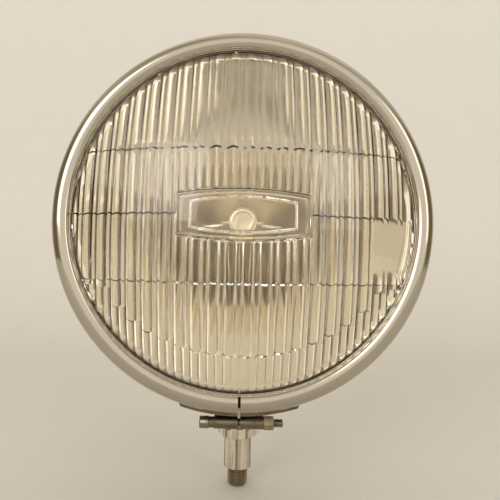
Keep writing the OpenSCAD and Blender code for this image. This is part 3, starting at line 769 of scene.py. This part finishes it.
# %% Cutting a grid to a circle
def cut_to_circle(x, z, radius):
    """Keeps the quads with a corner inside a circle, and slides their outer points onto it.

    A side that only one quad has lies on the cut. Followed one after the other, these sides
    give the ring of outer points, and sorting its angles keeps the ring from folding back.
    Returns which points are used, their new places, the quads and the ring."""
    inside = np.hypot(x, z).reshape(-1) < radius * 0.9985
    quads = grid_quads(*x.shape)
    quads = quads[inside[quads].any(axis=1)]
    used = np.zeros(x.size, bool)
    used[quads.reshape(-1)] = True
    quads = (np.cumsum(used) - 1)[quads]
    flat = np.stack([x.reshape(-1)[used], z.reshape(-1)[used]], axis=1)

    sides = {(a, b) for quad in quads.tolist() for a, b in zip(quad, quad[1:] + quad[:1])}
    after = {a: b for a, b in sides if (b, a) not in sides}
    ring = [next(iter(after))]
    while len(ring) < len(after):
        ring.append(after[ring[-1]])
    across, up_z = flat[ring].T
    if across @ np.roll(up_z, -1) < up_z @ np.roll(across, -1):
        ring.reverse()
    angle = np.arctan2(flat[ring, 0], -flat[ring, 1])
    ring = np.roll(ring, -np.argmin(angle))
    angle = np.sort(angle)
    flat[ring] = radius * np.stack([np.sin(angle), -np.cos(angle)], axis=1)
    return used, flat, quads, ring


# %% One closed piece of glass
def front_glass():
    x, z, cell, row, share = glass_grid()
    depth = fluted_depth(x, z, cell, row, share)
    used, flat, quads, ring = cut_to_circle(x, z, cavity_r)
    depth = depth.reshape(-1)[used]
    depth[ring] = lens_back
    inner = np.stack([flat[:, 0], rim_y + depth, axis_z + flat[:, 1]], axis=1)
    turn = np.arctan2(flat[ring, 0], -flat[ring, 1])
    bevel = 0.35
    edge = [(cavity_r, lens_back), (unit_r - bevel, lens_back),
            (unit_r, lens_back - bevel), (unit_r, bevel), (unit_r - bevel, 0),
            (dome_r + 0.5, 0.02), (dome_r, 0)]
    dome = [(r, dome_depth(r)) for r in dome_r * np.cos(np.linspace(0.1, math.pi / 2, 12))]
    profile = np.array(edge + dome)
    profile[-1, 0] = 0
    shell = around_axis(profile[:, :1], profile[:, 1:], turn[None])
    points, faces = stack_grids(
        (inner, quads), (shell, grid_quads(len(profile), len(turn), close_columns=True)))
    return finish_piece(make_piece("front_glass", points, faces, "lamp", "clear_glass",
                                   ["front_lens"], sharp_degrees=38, weld=4e-6))


front_glass()

# %% [markdown]
# ## The silvered dish
# The dish behind the glass is a paraboloid. A ray from the filament at its focus leaves it
# parallel to the axis, and for the same reason it mirrors the room back through the flutes.
# %% The dish
def reflector_dish():
    focal, wall = 24.0, 3.0
    front = lens_back + 0.05
    rim_inner = unit_r - 4.2
    deep = front + rim_inner**2 / (4 * focal)
    back_low = node_box("reflector")[1][1] - rim_y
    flange_back = front + 3.2
    outer = min(math.sqrt(4 * focal * (deep + wall - flange_back)), unit_r - 1.2)
    r = np.linspace(0, rim_inner, 90)
    s = np.linspace(outer, 0, 60)
    inner = np.stack([r, deep - r**2 / (4 * focal)], axis=1)
    back = np.stack([s, deep + wall - s**2 / (4 * focal)], axis=1)
    flange = [[unit_r - 0.3, front], [unit_r, front + 0.3], [unit_r, flange_back - 0.3],
              [unit_r - 0.3, flange_back]]
    points, quads = turned(np.vstack([inner, flange, back]), 192)
    print("dish depth", round(deep, 2), "of", round(back_low, 2))
    return finish_piece(make_piece("silvered_dish", points.reshape(-1, 3), quads, "lamp",
                                   "silvered_glass", ["reflector"]))


reflector_dish()

# %% [markdown]
# ## The shield
# In front of the filament sits a small pressed cap. It keeps direct light from going out
# without the dish. Its face is flat with a raised ring, which a turned outline gives.
# %% The filament's shield
def shield_cap():
    low, high = node_box("filament_shield")
    r = (high[0] - low[0]) / 2
    front, back = low[1] - rim_y, high[1] - rim_y
    wall = 0.5
    face = [[0, front + 0.35], [r * 0.60, front + 0.35], [r * 0.68, front + 0.02],
            [r * 0.86, front + 0.02], [r, front + 1.0], [r, back]]
    skin = soften(face, [0, 0.25, 0.25, 0.7, 0.9, 0], 5)
    inner = skin[::-1] + [0, wall]
    inner[:, 0] = np.maximum(inner[:, 0] - wall * (inner[:, 0] > r * 0.9), 0)
    inner[0, 1] = back
    points, quads = turned(np.vstack([skin, inner]), 96)
    return finish_piece(make_piece("shield_cap", points.reshape(-1, 3), quads, "lamp",
                                   "shield_metal", ["filament_shield"]))


shield_cap()

# %% [markdown]
# ## The rim
# The rim is one strip of sheet, rolled over in front and turned in behind, and split at the
# bottom where the clamp closes it. Its outline is a middle line with a wall. The strip is
# carried round the axis, and both ends stop at the same distance from the middle.
# %% The split rim
def split_rim():
    wall, gap, bead_turn, rear_lip, places = 1.0, 1.1, 126, 4.0, 361
    bead_mid = rim_r - bead_r
    half = wall / 2
    tip = math.radians(bead_turn)
    corner = soften([[rim_r - rear_lip - wall + half, rim_back - half],
                     [rim_r - half, rim_back - half], [rim_r - half, 0.5]], 1.6, 8)
    middle = np.vstack([corner[:-1], arc((bead_mid, 0), bead_r - half, 0, -bead_turn, 44),
                        [[bead_mid + (bead_r - half) * math.cos(tip) - 0.05, -1.6],
                         [bead_mid + (bead_r - half) * math.cos(tip), -0.05 - half]]])
    outline = sheet_outline(middle, wall)
    ends = np.arcsin(gap / 2 / outline[:, :1])
    a = ends + (2 * math.pi - 2 * ends) * np.linspace(0, 1, places)[None]
    points = around_axis(outline[:, :1], outline[:, 1:], a)
    quads = grid_quads(len(outline), places, close_rows=True).tolist()
    count = len(outline) * places
    caps = [list(range(0, count, places)), list(range(places - 1, count, places))]
    return finish_piece(make_piece("rim_band", points.reshape(-1, 3), quads + caps, "lamp",
                                   "chrome_plate", ["clamp_rim"], sharp_degrees=45))


split_rim()

# %% [markdown]
# ## Nuts
# A nut is a hexagon whose corners a cone has cut back. Its edge is worked out at each angle: a
# soft minimum of the distances to the six flats, so that the corners are slightly round.
# Where the edge is further out than the cone allows, the end face falls away, which draws
# the nut's curved chamfer by itself.
# %% Hexagon nuts
def nut_grid(across_flats, height, hole_r, steps=144, turn=0.0):
    """Points and faces of a nut on the z axis, from 0 to height.

    Around angle a, a flat lies at half the size over the cosine to its middle, and a sum of
    high powers of all six gives the edge with round corners. The crown, a power just under
    one on that cosine, bows each flat out as polishing does: by about a tenth of a
    millimetre on the two large nuts."""
    crown, power = 0.9, 90
    land_share, chamfer_degrees, hole_in = 0.96, 32, 0.35
    a = np.linspace(0, 2 * math.pi, steps, endpoint=False)
    flats = np.radians(np.arange(6) * 60 + turn)
    reach = np.clip(np.cos(a[:, None] - flats), 0, None) ** crown / (across_flats / 2)
    edge = (reach**power).sum(axis=1) ** (-1 / power)
    land = across_flats / 2 * land_share
    bite = np.maximum(edge - land, 0) * math.tan(math.radians(chamfer_degrees))
    levels = np.linspace(0.35, 1, 4)[:, None]
    round_part = np.repeat([[hole_r], [hole_r + hole_in], [land]], steps, axis=1)
    low_r = np.vstack([round_part, land + (edge - land) * levels])
    low_z = np.vstack([np.full((1, steps), hole_in), np.zeros((2, steps)), bite * levels])
    r = np.vstack([low_r, low_r[::-1]])
    z = np.vstack([low_z, height - low_z[::-1]])
    points = np.stack([r * np.cos(a), r * np.sin(a), z], axis=-1)
    return points, grid_quads(len(r), steps, close_rows=True, close_columns=True)


stud_r = 9.525 / 2
nut_play = 0.08


def upright_nut(name, node, across_flats, body, finish, turn):
    low, high = node_box(node)
    points, quads = nut_grid(across_flats, high[2] - low[2], stud_r + nut_play, turn=turn)
    points[..., 2] += low[2]
    return finish_piece(make_piece(name, points.reshape(-1, 3), quads, body, "bright_plate",
                                   [node], sharp_degrees=28), finish)


upright_nut("long_hex_nut", "long_nut", long_nut_flats, "hex_sleeve", bright_plate, turn=56)
upright_nut("thin_hex_nut", "lock_nut", thin_nut_flats, "thin_nut", thin_nut_plate, turn=84)

# %% [markdown]
# ## Threads
# A thread is a round bar whose radius dips with a triangle wave, and the wave's phase grows
# with the angle, so the dips wind up the bar as one groove. Under the stud's head the groove
# fades out, and a free end has a chamfer.
# %% Threaded bars
def thread_wave(phase):
    """0 on the crest and 1 in the root: a triangle with its tips cut flat."""
    share = np.abs(phase - np.floor(phase) - 0.5) * 2
    return np.clip(share * 1.3 - 0.15, 0, 1)


def threaded_bar(r, low, high, pitch, depth, chamfer, steps_round=64, fade_high=True):
    """Grid of a threaded bar along z, which closes on the axis at both ends.

    The low end has a chamfer. At the high end the groove fades out, or there is a second
    chamfer."""
    rows_a_pitch = 12
    z = np.linspace(low, high, int((high - low) / pitch * rows_a_pitch) + 1)
    a = np.linspace(0, 2 * math.pi, steps_round, endpoint=False)
    zz, aa = np.meshgrid(z, a, indexing="ij")
    groove = depth * thread_wave(zz / pitch - aa / (2 * math.pi))
    if fade_high:
        groove = groove * np.clip((high - zz) / pitch, 0, 1)
    limit = r - np.maximum(chamfer - (zz - low), 0)
    if not fade_high:
        limit = np.minimum(limit, r - np.maximum(chamfer - (high - zz), 0))
    radius = np.minimum(r - groove, limit)
    bar = np.stack([radius * np.cos(aa), radius * np.sin(aa), zz], axis=-1)
    end_low = np.broadcast_to([0, 0, low], (1, steps_round, 3))
    end_high = np.broadcast_to([0, 0, high], (1, steps_round, 3))
    points = np.vstack([end_low, bar, end_high])
    return points, grid_quads(len(points), steps_round, close_columns=True)


def swivel_stud():
    low, high = node_box("swivel_stud")
    head_l, head_af = 5.0, 13.6
    shank = threaded_bar(stud_r, low[2], high[2] - head_l + 0.2, pitch=1.058, depth=0.55,
                         chamfer=0.9)
    head_points, head_quads = nut_grid(head_af, head_l, hole_r=1.0)
    head_points[..., 2] += high[2] - head_l
    points, faces = stack_grids((shank[0], shank[1]), (head_points, head_quads))
    return finish_piece(make_piece("threaded_stud", points, faces, "stud", "thread_steel",
                                   ["swivel_stud"]))


swivel_stud()

# %% The clamp screw and its nut
screw_low, screw_high = node_box("clamp_screw")
screw_y = (screw_low[1] + screw_high[1]) / 2
screw_z = (screw_low[2] + screw_high[2]) / 2
screw_r = 1.7


def along_screw(points):
    """Lays a shape that was drawn up the z axis along the screw, pointing to the nut."""
    return np.stack([points[..., 2], screw_y - points[..., 1], screw_z + points[..., 0]], axis=-1)


def slotted_head(r, height, slot_w, slot_deep):
    """A low cylinder with a rounded face and a slot: the face is a grid cut to a circle."""
    steps, crown, face_in, slot_side = 25, 0.12, 0.25, 0.02
    half = slot_w / 2
    slot_lines = [-half - slot_side, -half, half, half + slot_side]
    lines = np.unique(np.concatenate([np.linspace(-r, r, steps), slot_lines]))
    x, y = np.meshgrid(np.linspace(-r * 1.01, r * 1.01, steps), lines * 1.01, indexing="ij")
    _, flat, quads, ring = cut_to_circle(x, y, r - face_in)
    far = np.hypot(flat[:, 0], flat[:, 1])
    face = crown * (far / r) ** 2 + slot_deep * (np.abs(flat[:, 1]) < half + slot_side / 2)
    face[ring] = np.maximum(face[ring], crown)
    face_points = np.stack([flat[:, 0], flat[:, 1], face], axis=1)
    turn = np.arctan2(flat[ring, 1], flat[ring, 0])
    side = np.array([(r - face_in, 0), (r, 0.45), (r, height - 0.2), (r - 0.2, height),
                     (0, height)])
    wall = np.stack(np.broadcast_arrays(side[:, :1] * np.cos(turn), side[:, :1] * np.sin(turn),
                                        side[:, 1:]), axis=-1).copy()
    wall[0, :, 2] = face[ring]
    wall[1, :, 2] = np.maximum(wall[1, :, 2], face[ring])
    return stack_grids((face_points, quads),
                       (wall, grid_quads(len(side), len(turn), close_columns=True)))


def clamp_screw():
    head_r, head_l = 2.45, 4.0
    head_points, head_faces = slotted_head(head_r, head_l, slot_w=0.98, slot_deep=1.4)
    head_points[:, 2] += screw_low[0]
    bar_points, bar_quads = threaded_bar(screw_r, screw_low[0] + 0.6, screw_high[0], pitch=0.7,
                                         depth=0.28, chamfer=0.4, steps_round=40,
                                         fade_high=False)
    points, faces = stack_grids((head_points, head_faces), (bar_points, bar_quads))
    return finish_piece(make_piece("slotted_clamp_screw", along_screw(points), faces, "screw",
                                   "plated_screw", ["clamp_screw"], sharp_degrees=40))


def clamp_nut():
    low, high = node_box("clamp_nut")
    small_nut_flats = 5.0
    points, quads = nut_grid(small_nut_flats, high[0] - low[0], screw_r + nut_play, steps=96)
    points[..., 2] += low[0]
    return finish_piece(make_piece("small_clamp_nut", along_screw(points).reshape(-1, 3), quads,
                                   "nut", "brass_nut", ["clamp_nut"], sharp_degrees=28))


clamp_screw()
clamp_nut()

# %% [markdown]
# ## The bowl
# The bowl behind the lamp is spun from sheet. Its outline is a superellipse, which is a little
# fuller than an ellipse, and its mouth turns out into the flange that the rim holds.
# %% The bowl
def bowl_shell():
    wall, flange_w, power = 0.9, 5.8, 2.2
    flange_front = bowl_low[1] - rim_y
    flange_back = flange_front + wall
    mouth = bowl_high[0] - flange_w
    deep = bowl_high[1] - rim_y - flange_back
    a = np.radians(90) * np.linspace(1, 0, 90)
    across, along = np.cos(a) ** (2 / power), np.sin(a) ** (2 / power)
    outer = np.stack([mouth * across, flange_back + deep * along], axis=1)
    inner = np.stack([(mouth - wall) * across, flange_back + (deep - wall) * along], axis=1)[::-1]
    lip = soften([[mouth, flange_back], [bowl_high[0], flange_back], [bowl_high[0], flange_front],
                  [mouth - wall, flange_front]], [0, 0.3, 0.3, 0])
    points, quads = turned(np.vstack([outer, lip, inner]), 256)
    return finish_piece(make_piece("spun_bowl", points.reshape(-1, 3), quads, "lamp",
                                   "chrome_plate", ["lamp_bowl"], sharp_degrees=40))


def drill(piece, centre, way, radius, length):
    """Cuts a round hole: a cylinder is subtracted, and the result becomes the piece's mesh."""
    sides = 64
    a = np.linspace(0, 2 * math.pi, sides, endpoint=False)
    turn = Vector((0, 0, 1)).rotation_difference(Vector(way)).to_matrix()
    ring = np.stack([radius * np.cos(a), radius * np.sin(a), np.zeros(sides)], axis=1)
    points = np.vstack([ring - [0, 0, length / 2], ring + [0, 0, length / 2]])
    points = points @ np.array(turn).T + np.array(centre)
    faces = grid_quads(2, sides, close_columns=True)[:, ::-1].tolist()
    faces += [list(range(sides))[::-1], list(range(sides, 2 * sides))]
    mesh = bpy.data.meshes.new("drill")
    mesh.from_pydata((points * MM).tolist(), [], faces)
    cutter = bpy.data.objects.new("drill", mesh)
    bpy.context.scene.collection.objects.link(cutter)
    cut = piece.modifiers.new("hole", "BOOLEAN")
    cut.operation = "DIFFERENCE"
    cut.solver = "EXACT"
    cut.object = cutter
    seen = piece.evaluated_get(bpy.context.evaluated_depsgraph_get())
    made = bpy.data.meshes.new_from_object(seen)
    piece.modifiers.clear()
    piece.data = made
    bpy.data.objects.remove(cutter)
    print(piece.name, "has a hole of", 2 * radius, "mm and", len(made.polygons), "faces")


cable_hole = next(m for m in frame["record"]["mounts"] if m["name"] == "cable_entry")
bowl = bowl_shell()
drill(bowl, (0, stud_y, axis_z - 50), (0, 0, 1), radius=12.4, length=60)
drill(bowl, np.array(cable_hole["pos_m"]) / MM, cable_hole["axis"], radius=5.5, length=12)
